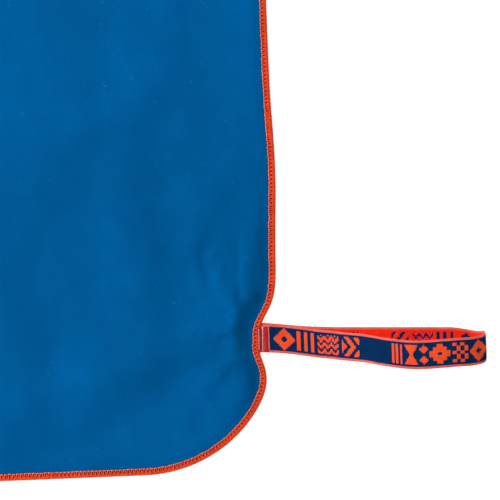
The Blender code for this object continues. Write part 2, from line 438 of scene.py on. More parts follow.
def twist_group():
    """Plies of a twisted thread: a height and a groove mask from its length and its turn."""
    inputs = (
        ("Place", "Vector", None),
        ("Lay", "Float", 0.9 * MM),
        ("Plies", "Float", 3.0),
    )
    outputs = (("Height", "Float"), ("Groove", "Float"))
    group, given, result = new_group("Twisted plies", inputs, outputs)
    parts = added(group, "ShaderNodeSeparateXYZ", {0: given["Place"]}).outputs
    along = maths(group, "DIVIDE", parts["X"], given["Lay"])
    turns = maths(group, "ADD", along, parts["Y"])
    phase = maths(group, "MULTIPLY", turns, given["Plies"])
    wave = maths(group, "SINE", maths(group, "MULTIPLY", phase, 2 * math.pi))
    height = maths(group, "MULTIPLY_ADD", wave, 0.5, 0.5)
    feed(group, result["Height"], height)
    feed(group, result["Groove"], maths(group, "POWER", maths(group, "SUBTRACT", 1.0, height), 3.0))
    return group


def rib_group():
    """Weave of the elastic band: weft ribs across it and warp ends along it."""
    inputs = (("Place", "Vector", None), ("Rib", "Float", 0.4 * MM))
    outputs = (("Height", "Float"), ("Gap", "Float"))
    group, given, result = new_group("Band weave", inputs, outputs)
    parts = added(group, "ShaderNodeSeparateXYZ", {0: given["Place"]}).outputs
    waves = []
    for axis in ("X", "Y"):
        share = maths(group, "DIVIDE", parts[axis], given["Rib"])
        waves.append(maths(group, "COSINE", maths(group, "MULTIPLY", share, 2 * math.pi)))
    product = maths(group, "MULTIPLY", waves[0], waves[1])
    height = maths(group, "MULTIPLY_ADD", product, 0.25, 0.5)
    ribs = maths(group, "MULTIPLY_ADD", waves[0], 0.25, height)
    feed(group, result["Height"], ribs)
    feed(group, result["Gap"], maths(group, "POWER", maths(group, "SUBTRACT", 1.0, ribs), 4.0))
    return group


def shared(tree, name, make, inputs):
    """The outputs of a node of this node group, which is made the first time it is needed."""
    group = bpy.data.node_groups.get(name) or make()
    return added(tree, "ShaderNodeGroup", inputs, node_tree=group).outputs


def new_material(name, roughness, specular, sheen=0.0, sheen_tint=(1, 1, 1)):
    """A Principled material with its constants set. Returns it, its tree and its shader's inputs."""
    material = bpy.data.materials.new(name)
    material.use_nodes = True
    tree = material.node_tree
    shader = tree.nodes["Principled BSDF"].inputs
    shader["Roughness"].default_value = roughness
    shader["Metallic"].default_value = 0
    shader["Specular IOR Level"].default_value = specular
    shader["Sheen Weight"].default_value = sheen
    shader["Sheen Roughness"].default_value = 0.5
    shader["Sheen Tint"].default_value = (*sheen_tint, 1)
    return material, tree, shader


def bump_from(tree, shader, height, distance, strength=1.0):
    """Raise the surface by a height between 0 and 1 times the distance."""
    inputs = {"Strength": strength, "Distance": distance, "Height": height}
    feed(tree, shader["Normal"], added(tree, "ShaderNodeBump", inputs).outputs["Normal"])


def object_place(tree):
    """Each point's place in its object."""
    return tree.nodes.new("ShaderNodeTexCoord").outputs["Object"]


def stored(tree, name):
    """The outputs of an attribute that the mesh keeps."""
    return added(tree, "ShaderNodeAttribute", {}, attribute_name=name).outputs


def darkened(colour, share):
    """A colour with this share of its light."""
    return tuple(share * channel for channel in colour)


def suede_material(colour):
    """Dyed suede microfibre with a brushed nap, faint blotches and a little lint."""
    material, tree, shader = new_material("Suede microfibre", 0.95, 0.0, 0.03, (0.1, 0.45, 1.0))
    place = object_place(tree)
    inputs = {"Colour": colour, "Scale": 5.5, "Amount": 0.5, "Place": place}
    dye = shared(tree, "Uneven dye", dye_group, inputs)
    inputs = {"Fibre scale": 1500, "Stroke scale": 22, "Place": place}
    nap = shared(tree, "Brushed nap", nap_group, inputs)
    inputs = {"Colour": dye["Colour"], "Scale": 85, "Amount": 0.13, "Place": place}
    blotches = shared(tree, "Uneven dye", dye_group, inputs)
    stroke = limited(tree, nap["Strokes"], 2.4, -0.9, 0.55)
    brushed = mixed(tree, stroke, blotches["Colour"], darkened(colour, 0.74))
    fibre = maths(tree, "MULTIPLY_ADD", nap["Height"], 0.5, -0.12)
    speckled = mixed(tree, fibre, brushed, darkened(colour, 0.55))
    lint = limited(tree, noise_value(tree, place, 420, 1), 9.0, -6.75, 0.16)
    feed(tree, shader["Base Color"], mixed(tree, lint, speckled, (0.03, 0.19, 0.42)))
    feed(tree, shader["Roughness"], maths(tree, "MULTIPLY_ADD", nap["Strokes"], 0.15, 0.82))
    bump_from(tree, shader, nap["Height"], 0.12 * MM, 0.6)
    return material


def thread_material(name, colour, lay, plies):
    """Twisted sewing thread, with painted shade in the grooves between its plies."""
    material, tree, shader = new_material(name, 0.6, 0.2, 0.05, (1, 0.75, 0.6))
    inputs = {"Lay": lay, "Plies": plies, "Place": stored(tree, "thread_place")["Vector"]}
    twist = shared(tree, "Twisted plies", twist_group, inputs)
    inputs = {"Colour": colour, "Scale": 160, "Amount": 0.35, "Place": object_place(tree)}
    dye = shared(tree, "Uneven dye", dye_group, inputs)
    # The grooves between the plies are darkened towards this colour: painted shade, not a darker dye.
    groove_shade = (0.55 * colour[0], 0.25 * colour[1], 0.25 * colour[2])
    groove = maths(tree, "MULTIPLY", twist["Groove"], 0.45)
    feed(tree, shader["Base Color"], mixed(tree, groove, dye["Colour"], groove_shade))
    bump_from(tree, shader, twist["Height"], 0.05 * MM)
    return material


def band_material(name, ground, figure, selvedge):
    """Woven elastic: the figure mask picks the yarn, the weave shows in ribs, and painted shade darkens
    the gaps between them.
    """
    material, tree, shader = new_material(name, 0.85, 0.03)
    inputs = {"Place": stored(tree, "band_place")["Vector"]}
    weave = shared(tree, "Band weave", rib_group, inputs)
    figured = mixed(tree, stored(tree, "figure")["Fac"], ground, figure)
    edged = mixed(tree, stored(tree, "selvedge")["Fac"], figured, selvedge)
    inputs = {"Colour": edged, "Scale": 220, "Amount": 0.3, "Place": object_place(tree)}
    dye = shared(tree, "Uneven dye", dye_group, inputs)
    # The gaps between the ribs are darkened towards near black: painted shade.
    gap = maths(tree, "MULTIPLY", weave["Gap"], 0.7)
    feed(tree, shader["Base Color"], mixed(tree, gap, dye["Colour"], (0.006, 0.004, 0.008)))
    bump_from(tree, shader, weave["Height"], 0.08 * MM)
    return material


# ---------------------------------------------------------------- cloth


def pinch(y):
    """How far the loop draws the edge in at this height along it."""
    away = max(abs(y - LOOP_Y) - PINCH_FLAT, 0)
    return PINCH_DEPTH * bell(away, PINCH_SPREAD)


def drawn_in(x, y):
    """Where a point of the flat cut goes when the loop's seam draws the cloth in."""
    depth = max(HALF_WIDTH - x, 0)
    hold = bell(depth, PINCH_REACH)
    gather = GATHER * hold * bell(y - LOOP_Y, GATHER_REACH)
    bow = BOW * bell(y - BOW_Y, BOW_REACH)
    return x + (bow - pinch(y)) * hold, y - (y - LOOP_Y) * gather


def seam_lift(x, y):
    """How far the seam's rim stands up: on its thread, and over the band's ends."""
    away = abs(y - LOOP_Y) - SEAM_LIFT_FLAT
    over_band = SEAM_LIFT * (1 - smooth_step(away, 0, SEAM_LIFT_RAMP)) if x > 0 else 0
    return RIM_LIFT + over_band


def corner_arc(side_x, side_y, start_degrees, inset, count):
    """Points round one corner, moved in by inset."""
    centre_x = side_x * (HALF_WIDTH - CORNER_RADIUS)
    centre_y = side_y * (HALF_LENGTH - CORNER_RADIUS)
    radius = CORNER_RADIUS - inset
    angles = np.radians(start_degrees + 90 * np.arange(count) / count)
    return np.column_stack((centre_x + radius * np.cos(angles), centre_y + radius * np.sin(angles)))


def straight(start, end, count):
    """Points from start up to, but without, end."""
    shares = (np.arange(count) / count)[:, None]
    return np.array(start) * (1 - shares) + np.array(end) * shares


def cut_outline(inset, step=4.2 * MM):
    """The cut's outline moved in by inset, counter-clockwise, with the same stations for any inset."""
    x, y = HALF_WIDTH - inset, HALF_LENGTH - inset
    reach_x, reach_y = HALF_WIDTH - CORNER_RADIUS, HALF_LENGTH - CORNER_RADIUS
    arc = int(CORNER_RADIUS * math.pi / 2 / step)
    long_side, short_side = int(2 * reach_y / step), int(2 * reach_x / step)
    return np.vstack(
        (
            corner_arc(1, -1, -90, inset, arc),
            straight((x, -reach_y), (x, reach_y), long_side),
            corner_arc(1, 1, 0, inset, arc),
            straight((reach_x, y), (-reach_x, y), short_side),
            corner_arc(-1, 1, 90, inset, arc),
            straight((-x, reach_y), (-x, -reach_y), long_side),
            corner_arc(-1, -1, 180, inset, arc),
            straight((-reach_x, -y), (reach_x, -y), short_side),
        )
    )


def inset_of(x, y):
    """Distance of a point of the cut from its outline."""
    over_x = abs(x) - (HALF_WIDTH - CORNER_RADIUS)
    over_y = abs(y) - (HALF_LENGTH - CORNER_RADIUS)
    if over_x > 0 and over_y > 0:
        return CORNER_RADIUS - math.hypot(over_x, over_y)
    return min(HALF_WIDTH - abs(x), HALF_LENGTH - abs(y))


# The stretch beside the loop whose mesh is finer
PATCH_DEPTH = 46 * MM
PATCH_BELOW = -42 * MM
PATCH_ABOVE = 56 * MM


def filling_points(spacing, fine_spacing, margin):
    """Staggered rows of points inside the outline, closer together by the loop."""
    rows = []
    for fine, gap in ((False, spacing), (True, fine_spacing)):
        height = gap * math.sqrt(3) / 2
        count = int(2 * HALF_LENGTH / height)
        for row in range(count):
            y = -HALF_LENGTH + (row + 0.5) * height
            for column in range(int(2 * HALF_WIDTH / gap) + 1):
                x = -HALF_WIDTH + (column + 0.5 * (row % 2)) * gap
                in_patch = x > HALF_WIDTH - PATCH_DEPTH and PATCH_BELOW < y - LOOP_Y < PATCH_ABOVE
                if in_patch == fine and inset_of(x, y) > margin:
                    rows.append((x, y))
    return np.array(rows)


RING_INSETS = (CLOTH_INSET, RIM_FLAT, 6.6 * MM, 9.2 * MM, 12.6 * MM)


def cut_mesh(settings):
    """Points of the flat cut and its triangles. The first points are the rings by the edge."""
    rings = [cut_outline(inset) for inset in RING_INSETS]
    inner = filling_points(settings.spacing, settings.fine_spacing, RING_INSETS[-1] + 3.5 * MM)
    points = np.vstack(rings + [inner])
    stations = len(rings[0])
    border = [(i, (i + 1) % stations) for i in range(stations)]
    rings = range(len(RING_INSETS))
    lines = [(a + ring * stations, b + ring * stations) for ring in rings for a, b in border]
    _, _, faces, origins, _, _ = delaunay_2d_cdt(
        [Vector(point) for point in points], lines, [list(range(stations))], 1, 1e-6
    )
    given = [origin[0] for origin in origins]
    faces = [[given[i] for i in face] for face in faces]
    return points, faces, stations


def folded_wave(x, y, height):
    """Soft waves that folding left in the cloth."""
    broad = noise.noise(Vector((3.4 * x + 1.7, 2.9 * y, 0.4)))
    narrow = noise.noise(Vector((9.5 * x, 5.5 * y + 3.1, 2.2)))
    diagonal = noise.noise(Vector((14 * x + 9 * y, 4 * x - 6 * y, 5.1)))
    return height * (broad + 0.55 * narrow + 0.3 * diagonal)


# Fans of puckers: the seam's end they run out from, the first one's angle and their number
FAN_INSET = 14 * MM
PUCKER_REACH = 22 * MM
PUCKER_FANS = ((9 * MM, 0.62, 5.0), (-9 * MM, -0.5, 4.0))


def puckers(x, y, height):
    """Small folds that run out from the two ends of the loop's seam."""
    total = 0
    for seam_end, first_turn, lobes in PUCKER_FANS:
        across = HALF_WIDTH - FAN_INSET - x
        up = y - LOOP_Y - seam_end
        reach = math.hypot(across, up) + 1e-9
        turn = math.atan2(up, across)
        fade = smooth_step(reach, 2 * MM, 14 * MM) * math.exp(-reach / PUCKER_REACH)
        total += 1.6 * fade * math.sin(lobes * (turn - first_turn))
    return height * total


# Small sharp creases near the loop: how far in from the edge and how far up from the loop's
# middle each one starts and ends, and its height
CREASES = (
    (13.5 * MM, 31 * MM, 10.5 * MM, 17 * MM, 0.75 * MM),
    (7.5 * MM, 42 * MM, 8.5 * MM, 33 * MM, 0.45 * MM),
    (21 * MM, 22 * MM, 14 * MM, 9 * MM, 0.45 * MM),
    (24 * MM, -13 * MM, 15 * MM, -8 * MM, 0.45 * MM),
)
CREASE_WIDTH = 1.7 * MM


def creases(x, y):
    """Height of the small sharp creases here."""
    here_in, here_up = HALF_WIDTH - x, y - LOOP_Y
    total = 0
    for in_1, up_1, in_2, up_2, height in CREASES:
        way_in, way_up = in_2 - in_1, up_2 - up_1
        length = math.hypot(way_in, way_up)
        share = ((here_in - in_1) * way_in + (here_up - up_1) * way_up) / length**2
        aside = abs((here_in - in_1) * way_up - (here_up - up_1) * way_in) / length
        fade = smooth_step(share, -0.25, 0.3) * (1 - smooth_step(share, 0.7, 1.25))
        total += height * fade * bell(aside, CREASE_WIDTH)
    return total


def swelling(x, y, height):
    """How far the cloth swells up beside its stitches, most of all near the loop."""
    near = bell(y - LOOP_Y - 7 * MM, 34 * MM) if x > 0 else 0
    inset = inset_of(x, y)
    rise = smooth_step(inset, 3.4 * MM, (9.5 + 10 * near) * MM)
    fall = 1 - smooth_step(inset, (12 + 6 * near) * MM, (42 + 18 * near) * MM)
    return height * (1 + 4.2 * near) * rise * fall


# Before it settles, the cloth hangs this far over the floor, and nowhere lower than the second
START_LIFT = 1.6 * MM
LEAST_START = 0.9 * MM


def start_shape(points, settings):
    """The cut laid out over the floor with its waves and puckers, its rim up at the loop."""
    placed = []
    for x, y in points:
        new_x, new_y = drawn_in(x, y)
        wave = folded_wave(x, y, settings.wave_height)
        inside = smooth_step(inset_of(x, y), RIM_FLAT, 80 * MM)
        full = START_LIFT + settings.fullness * inside + wave * (0.35 + 0.65 * inside)
        near = math.exp(-(((HALF_WIDTH - 10 * MM - x) / (12 * MM)) ** 2 + ((y - LOOP_Y) / (15 * MM)) ** 2))
        height = full * (1 - 0.6 * near) + SEAM_LIFT * near + puckers(x, y, settings.pucker)
        placed.append((new_x, new_y, max(height, LEAST_START)))
    return np.array(placed)


def rest_shape(points, start, settings):
    """The shape that the cloth remembers: its cut with a little ease, and its waves."""
    larger = points * (1 + settings.ease)
    return np.column_stack((larger, start[:, 2]))


def pin_weights(points):
    """How firmly the seam at the loop holds each point."""
    weights = []
    for x, y in points:
        along = 1 - smooth_step(abs(y - LOOP_Y), BAND_WIDTH / 2, 40 * MM)
        inward = 1 - smooth_step(inset_of(x, y), RIM_FLAT, 8 * MM)
        weights.append(along * inward if x > 0 else 0)
    return weights


SETTLING_GAP = 0.4 * MM
CLOTH_BEHAVIOUR = {
    "quality": 4,
    "mass": 0.05,
    "air_damping": 4,
    "tension_stiffness": 40,
    "compression_stiffness": 40,
    "shear_stiffness": 20,
    "bending_stiffness": 8,
}
GRAVITY_SHARE = 0.04


def settle(cloth, rest, weights, frames):
    """Let the cloth settle on the floor. Returns its points, with every modifier gone again."""
    scene = bpy.context.scene
    bpy.ops.mesh.primitive_plane_add(size=4, location=(0, 0, 0))
    ground = bpy.context.object
    ground.modifiers.new("Ground", "COLLISION")
    ground.collision.thickness_outer = SETTLING_GAP
    ground.collision.cloth_friction = 15
    cloth.shape_key_add(name="Laid out")
    remembered = cloth.shape_key_add(name="Remembered")
    remembered.data.foreach_set("co", rest.astype(np.float32).ravel())
    pins = cloth.vertex_groups.new(name="Seam")
    for index, weight in enumerate(weights):
        if weight > 0.01:
            pins.add([index], weight, "REPLACE")
    modifier = cloth.modifiers.new("Settling", "CLOTH")
    behaviour = modifier.settings
    for name, value in CLOTH_BEHAVIOUR.items():
        setattr(behaviour, name, value)
    behaviour.effector_weights.gravity = GRAVITY_SHARE
    behaviour.vertex_group_mass = "Seam"
    behaviour.rest_shape_key = remembered
    modifier.collision_settings.use_self_collision = False
    modifier.collision_settings.distance_min = SETTLING_GAP
    modifier.collision_settings.collision_quality = 2
    modifier.point_cache.frame_start = 1
    modifier.point_cache.frame_end = frames
    scene.frame_start = 1
    scene.frame_end = frames
    for number in range(1, frames + 1):
        scene.frame_set(number)
    graph = bpy.context.evaluated_depsgraph_get()
    settled = cloth.evaluated_get(graph).to_mesh()
    points = np.empty(len(settled.vertices) * 3)
    settled.vertices.foreach_get("co", points)
    cloth.evaluated_get(graph).to_mesh_clear()
    cloth.modifiers.remove(modifier)
    cloth.shape_key_clear()
    cloth.vertex_groups.remove(pins)
    bpy.data.objects.remove(ground)
    scene.frame_set(1)
    return points.reshape(-1, 3)


SWELL_REACH = 60 * MM


def laid_down(settled, cut, swell):
    """The settled cloth with its underside on the floor, its rim on the thread and its creases."""
    placed = settled.copy()
    placed[:, 2] = np.maximum(placed[:, 2] - np.percentile(placed[:, 2], 2), 0)
    for index, (x, y) in enumerate(cut):
        near = bell(y - LOOP_Y, 22 * MM) if x > 0 else 0
        rim = 1 - smooth_step(inset_of(x, y), RIM_FLAT, RIM_FLAT + RIM_RAMP * (1 + 2.6 * near))
        placed[index, 2] = max(placed[index, 2], seam_lift(x, y) * rim)
        if inset_of(x, y) < SWELL_REACH:
            placed[index, 2] += swelling(x, y, swell) + creases(x, y)
    return placed


class TOWEL_OT_cloth(bpy.types.Operator):
    """Make the cloth: cut it, let it settle on the floor and give it its thickness."""

    bl_idname = "towel.cloth"
    bl_label = "Cloth"

    def execute(self, context):
        settings = context.scene.towel_cloth
        cut, faces, stations = cut_mesh(settings)
        start = start_shape(cut, settings)
        cloth = object_from("towel_cloth", start, faces, suede_material(settings.colour))
        rest = rest_shape(cut, start, settings)
        start = settle(cloth, rest, pin_weights(cut), settings.settle_frames)
        placed = laid_down(start, cut, settings.swell)
        cloth.data.vertices.foreach_set("co", placed.astype(np.float32).ravel())
        cloth.data.update()
        cloth["stations"] = stations
        solid = cloth.modifiers.new("Thickness", "SOLIDIFY")
        solid.thickness = settings.thickness
        solid.offset = 1
        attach(cloth, "towel")
        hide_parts("towel_panel")
        return {"FINISHED"}


# ---------------------------------------------------------------- overlock


def rounded(ring, samples=6):
    """A closed ring of points with a smooth curve in place of its straight steps."""
    shares = np.arange(samples) / samples
    fours = (np.roll(ring, 1, axis=0), ring, np.roll(ring, -1, axis=0), np.roll(ring, -2, axis=0))
    stretches = [catmull_rom([four[index] for four in fours], shares) for index in range(len(ring))]
    return np.vstack(stretches)


def edge_line(cloth, pitch, start_y, overlap):
    """The towel's edge from where its seam starts, and how many stitches go round it."""
    count = cloth["stations"]
    points = np.empty(len(cloth.data.vertices) * 3)
    cloth.data.vertices.foreach_get("co", points)
    points = points.reshape(-1, 3)
    edge, line = points[:count], points[count : 2 * count]
    right = np.where(edge[:, 0] > HALF_WIDTH - 20 * MM, np.abs(edge[:, 1] - start_y), 1)
    first = int(np.argmin(right))
    edge = rounded(np.roll(edge, -first, axis=0))
    line = rounded(np.roll(line, -first, axis=0))
    line = EdgeLine(edge, line)
    return line, int(round((line.length + overlap) / pitch))


# How far the outermost thread stays inside the outline
THREAD_INSET = 0.5 * MM


class EdgeLine:
    """The towel's edge as a closed line that can be asked for a place anywhere along it."""

    def __init__(self, edge, line):
        self.edge = np.vstack((edge, edge[:1]))
        self.line = np.vstack((line, line[:1]))
        self.along = lengths_along(self.edge)
        self.length = self.along[-1]

    def places(self, along, inward, height):
        """Points at these distances along the edge, inward from it and above the underside."""
        inward = THREAD_INSET + inward * (1 - THREAD_INSET / STITCH_WIDTH)
        wrapped = np.mod(along, self.length)
        edge = self.read(self.edge, wrapped)
        line = self.read(self.line, wrapped)
        ahead = self.read(self.edge, np.mod(wrapped + 1 * MM, self.length))
        tangent = unit(ahead - edge)
        inward_way = unit(line - edge)
        up = unit(np.cross(tangent, inward_way))
        return edge + inward_way * (inward - CLOTH_INSET)[:, None] + up * height[:, None]

    def read(self, rows, along):
        """The rows between the stored ones at these distances."""
        return np.column_stack([np.interp(along, self.along, rows[:, axis]) for axis in range(3)])


# The first half of one stitch of each thread: share of the pitch, share of the stitch width in
# from the edge, and height above the underside of the cloth. The second half mirrors the first.
UPPER_LOOP = (
    (0.00, -0.08, 0.35 * MM),
    (0.06, 0.00, 0.95 * MM),
    (0.12, 0.25, 1.06 * MM),
    (0.17, 0.60, 1.05 * MM),
    (0.30, 0.92, 1.00 * MM),
    (0.50, 1.04, 0.95 * MM),
)
LOWER_LOOP = (
    (0.00, 1.03, -0.22 * MM),
    (0.20, 0.60, -0.28 * MM),
    (0.28, 0.17, -0.28 * MM),
    (0.33, -0.09, 0.28 * MM),
    (0.40, 0.20, 1.06 * MM),
    (0.50, 0.43, 1.12 * MM),
)
NEEDLE_LOOP = (
    (0.00, 0.99, 0.50 * MM),
    (0.22, 1.00, 1.22 * MM),
    (0.50, 1.00, 1.42 * MM),
)


OVERLAP_LIFT = 0.35 * MM


def stitched_path(line, stitches, pitch, width, shape, wander):
    """One thread's path round the whole edge, its later stitches raised where they overlap."""
    shape = shape + tuple((1 - share, *rest) for share, *rest in shape[-2:0:-1])
    shares = np.array([row[0] for row in shape])
    inward = np.array([row[1] for row in shape]) * width
    height = np.array([row[2] for row in shape])
    number = np.repeat(np.arange(stitches), len(shape))
    along = (number + np.tile(shares, stitches)) * pitch
    uneven = wander[number]
    inward = np.tile(inward, stitches) * (1 + 0.05 * uneven)
    again = np.clip((along - line.length) / (2 * pitch), 0, 1)
    raised = np.tile(height, stitches)
    raised = raised + again * np.sign(raised) * OVERLAP_LIFT
    return line.places(along + 0.05 * pitch * uneven, inward, raised)


# Section of the sheet of spread fibres round the edge, whose dark colour is painted shade between the
# stitches: share of the stitch width in, and height
COVER_SECTION = (
    (0.97, 0.72 * MM),
    (0.80, 0.84 * MM),
    (0.45, 0.92 * MM),
    (0.12, 0.90 * MM),
    (-0.03, 0.62 * MM),
    (-0.06, 0.33 * MM),
    (-0.03, 0.06 * MM),
    (0.12, -0.14 * MM),
    (0.50, -0.14 * MM),
    (0.95, -0.05 * MM),
)


def cover_mesh(line, width, step=0.8 * MM):
    """Points, faces and places of the fibres' sheet, wrapped round the whole edge. Its dark colour is
    painted shade between the stitches.
    """
    count = int(line.length / step)
    along = np.arange(count) * line.length / count
    rows = []
    for share, height in COVER_SECTION:
        rows.append(line.places(along, np.full(count, share * width), np.full(count, height)))
    points = np.stack(rows, 1)
    points[:, :, 2] = np.maximum(points[:, :, 2], 0.02 * MM)
    across = len(COVER_SECTION)
    index = np.arange(count * across).reshape(count, across)
    here = index[:, :-1].ravel()
    ahead = np.roll(index, -1, axis=0)[:, :-1].ravel()
    faces = np.column_stack((here, ahead, ahead + 1, here + 1)).tolist()
    places = np.column_stack((np.repeat(along, across), np.tile(np.arange(across) / across, count)))
    return points.reshape(-1, 3), faces, places


class TOWEL_OT_overlock(bpy.types.Operator):
    """Make the overlocked edge, stitch by stitch: two loopers, a sheet for their fibres whose dark colour
    is painted shade between the stitches, and the needle thread.
    """

    bl_idname = "towel.overlock"
    bl_label = "Overlocked edge"

    def execute(self, context):
        settings = context.scene.towel_overlock
        cloth = bpy.data.objects["towel_cloth"]
        start_y = settings.start - HALF_LENGTH
        line, stitches = edge_line(cloth, settings.pitch, start_y, settings.overlap)
        looper = thread_material("Looper thread", settings.colour, 1.1 * MM, 2)
        needle = thread_material("Needle thread", settings.needle_colour, 0.8 * MM, 3)
        wander = np.random.default_rng(7).uniform(-1, 1, stitches)
        made = (
            ("upper", UPPER_LOOP, settings.looper_radius, looper, "edge_thread"),
            ("lower", LOWER_LOOP, settings.looper_radius, looper, "edge_thread"),
            ("needle", NEEDLE_LOOP, settings.needle_radius, needle, "needle_thread"),
        )
        # The sheet's dark colour is painted shade in the gaps between the stitches.
        cover = thread_material("Spread fibres and painted shade", settings.cover_shade_colour, 0.5 * MM, 9)
        points, faces, places = cover_mesh(line, settings.width)
        fibres = object_from("overlock_fibres_and_painted_shade", points, faces, cover)
        keep_vector(fibres, "thread_place", places)
        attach(fibres, "towel")
        for name, shape, radius, material, slot in made:
            path = stitched_path(line, stitches, settings.pitch, settings.width, shape, wander)
            path[:, 2] = np.maximum(path[:, 2], radius)
            thread = thread_object(f"overlock_{name}_stitches", path, radius, material)
            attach(thread, "towel")
            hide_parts(f"overlock_{name}_thread")
        return {"FINISHED"}


# ---------------------------------------------------------------- loop


# Side view of the free band: share of its length out from the seam, share of its rise
UPPER_STRAND = (
    (0.17, 0.0),
    (0.29, 0.07),
    (0.43, 0.38),
    (0.55, 0.76),
    (0.67, 0.96),
    (0.80, 0.93),
    (0.91, 0.74),
    (0.985, 0.45),
)
LOWER_STRAND = (
    (0.994, 0.18),
    (0.95, 0.015),
    (0.88, 0.0),
    (0.60, 0.0),
    (0.20, 0.0),
)


def band_side_view(settings):
    """Middle line of the whole band, from its upper end in the seam round to its lower end."""
    reach = LOOP_HIGH.x - BAND_THICKNESS / 2 - HINGE_X
    lying = LOOP_LOW.z + BAND_THICKNESS / 2 + 0.1 * MM
    resting = lying + BAND_THICKNESS + 0.15 * MM
    low_end = ENDS_LOW.z + BAND_THICKNESS / 2
    high_end = low_end + BAND_THICKNESS + 0.05 * MM
    low_root = TACK_UNDER.z + TACK_GAP + BAND_THICKNESS / 2
    high_root = TACK_OVER.z - TACK_GAP - BAND_THICKNESS / 2
    ends_x = ENDS_LOW.x
    points = [(ends_x, high_end), (HINGE_X, high_root), (HINGE_X + 4.5 * MM, high_root)]
    for out, up in UPPER_STRAND:
        height = resting + (lying - resting) * out + up * settings.rise
        points.append((HINGE_X + out * reach, height))
    for out, up in LOWER_STRAND:
        points.append((HINGE_X + out * reach, lying + up * settings.rise))
    points += [(HINGE_X + 4.5 * MM, low_root), (HINGE_X, low_root), (ends_x, low_end)]
    return np.array([(x, 0, z) for x, z in points])


def diamond(u, v):
    """A diamond with a hole in it."""
    return 0.36 < abs(u) + abs(v) < 1.05


def bars(u, v):
    """Three upright bars."""
    return abs(v) < 0.97 and int((u + 1) * 2.5) % 2 == 0


def chevrons(u, v):
    """Arrow stripes."""
    return abs(v) < 0.97 and int((u + 2 + abs(v) * 0.95) * 1.9) % 2 == 0


def zigzags(u, v):
    """Three zigzag stripes, one over the other."""
    fold = abs((1.5 * u) % 1 - 0.5) * 2
    return abs(v) < 0.97 and ((v + 0.42 * fold + 0.1) * 1.55) % 1 < 0.52


def stepped_cross(u, v):
    """A cross with stepped arms."""
    near, far = min(abs(u), abs(v)), max(abs(u), abs(v))
    return far < 0.97 and (near < 0.28 or (near < 0.6 and far < 0.6)) and not (far < 0.2)


def checks(u, v):
    """Staggered squares."""
    return abs(v) < 0.97 and (int((u + 1) * 2) + int((v + 1) * 2.5)) % 2 == 0


def hourglass(u, v):
    """Two points that meet in the middle."""
    return 0.97 * abs(v) + 0.12 > abs(u) and abs(v) < 0.97


def dots(u, v):
    """Two small lozenges, one over the other."""
    return abs(abs(v) - 0.52) * 2.6 + abs(u) < 1


# The woven figures in order from the seam: figure, width, and the ground before it
FIGURES = (
    (diamond, 11.8 * MM, 6.2 * MM),
    (bars, 9.2 * MM, 1.0 * MM),
    (zigzags, 11.2 * MM, 1.8 * MM),
    (chevrons, 9.4 * MM, 2.0 * MM),
    (bars, 5.2 * MM, 17.6 * MM),
    (hourglass, 7.0 * MM, 1.2 * MM),
    (dots, 4.4 * MM, 0.9 * MM),
    (stepped_cross, 11.4 * MM, 0.7 * MM),
    (checks, 8.8 * MM, 1.2 * MM),
    (diamond, 10.8 * MM, 0.8 * MM),
)
FIGURE_HALF_HEIGHT = 5.5 * MM
SELVEDGE_WIDTH = 1.15 * MM
STEP_SIZE = 0.85 * MM
ROOT_LENGTH = 4.1 * MM
EDGE_CURL = 0.25 * MM


def figured(along, across):
    """Whether the figured yarn is on the outside here. The figures repeat along the band."""
    repeat = sum(width + ground for _, width, ground in FIGURES)
    place = along % repeat
    for figure, width, ground in FIGURES:
        place -= ground
        if place < 0:
            return False
        if place < width:
            return figure(2 * place / width - 1, across / FIGURE_HALF_HEIGHT)
        place -= width
    return False


def band_grid(settings):
    """The band's middle line, its outward ways, its shift sideways, and its two sets of distances."""
    side = spaced(smooth_path(band_side_view(settings), 24), settings.cell)
    columns = int(round(BAND_WIDTH / settings.cell))
    across = np.linspace(-BAND_WIDTH / 2, BAND_WIDTH / 2, columns + 1)
    along = lengths_along(side)
    tangent = unit(np.gradient(side, axis=0))
    outward = np.column_stack((-tangent[:, 2], tangent[:, 1], tangent[:, 0]))
    out = np.maximum(side[:, 0] - HINGE_X, 0)
    risen = np.maximum(side[:, 2] - (ENDS_HIGH.z + BAND_THICKNESS / 2), 0)
    shift = LOOP_Y - math.tan(settings.droop) * out - settings.lean * risen - slipped(out, side[:, 2])
    return side, outward, shift, across, along


def eased(share):
    """A smooth climb from 0 to 1, for a whole row of shares."""
    share = np.clip(share, 0, 1)
    return share * share * (3 - 2 * share)


def slipped(out, height):
    """How far the soft band has slipped sideways, besides its droop and its lean."""
    root = eased(1 - out / (26 * MM))
    body = eased(out / (45 * MM))
    tip = eased((out - 101 * MM) / (20 * MM))
    low = 1 - eased((height - 0.9 * MM) / (3.1 * MM))
    near = np.exp(-(((out - 38 * MM) / (17 * MM)) ** 2))
    far = np.exp(-(((out - 96 * MM) / (13 * MM)) ** 2))
    upper = np.arange(len(out)) < np.argmax(out)
    lower = np.arange(len(out)) > np.argmax(out)
    both = 1.1 * body - root * (0.55 + 0.5 * lower) + tip * (1.3 + 1.1 * low)
    return (both + upper * (1.9 * near - 0.6 * far)) * MM


def figure_mask(along, across):
    """1 in each cell that shows the figured yarn on the outside, and 0 in the others."""
    mask = np.zeros((len(along), len(across)))
    for row, place in enumerate(along):
        for column, way in enumerate(across):
            if abs(way) < BAND_WIDTH / 2 - SELVEDGE_WIDTH and place > 0:
                stepped = STEP_SIZE * (math.floor(way / STEP_SIZE) + 0.5)
                mask[row, column] = figured(place, stepped)
    return mask


def raised_weave(mask, across, relief):
    """How far each point stands out: up under the figures, and down at the curled edges."""
    rows, columns = mask.shape
    share = np.zeros((rows + 1, columns + 1))
    for down, over in ((0, 0), (0, 1), (1, 0), (1, 1)):
        share[down : rows + down, over : columns + over] += mask / 4
    edge_curl = EDGE_CURL * np.clip(np.abs(across) / (BAND_WIDTH / 2), 0, 1) ** 8
    return (relief * share - edge_curl)[:, :, None]


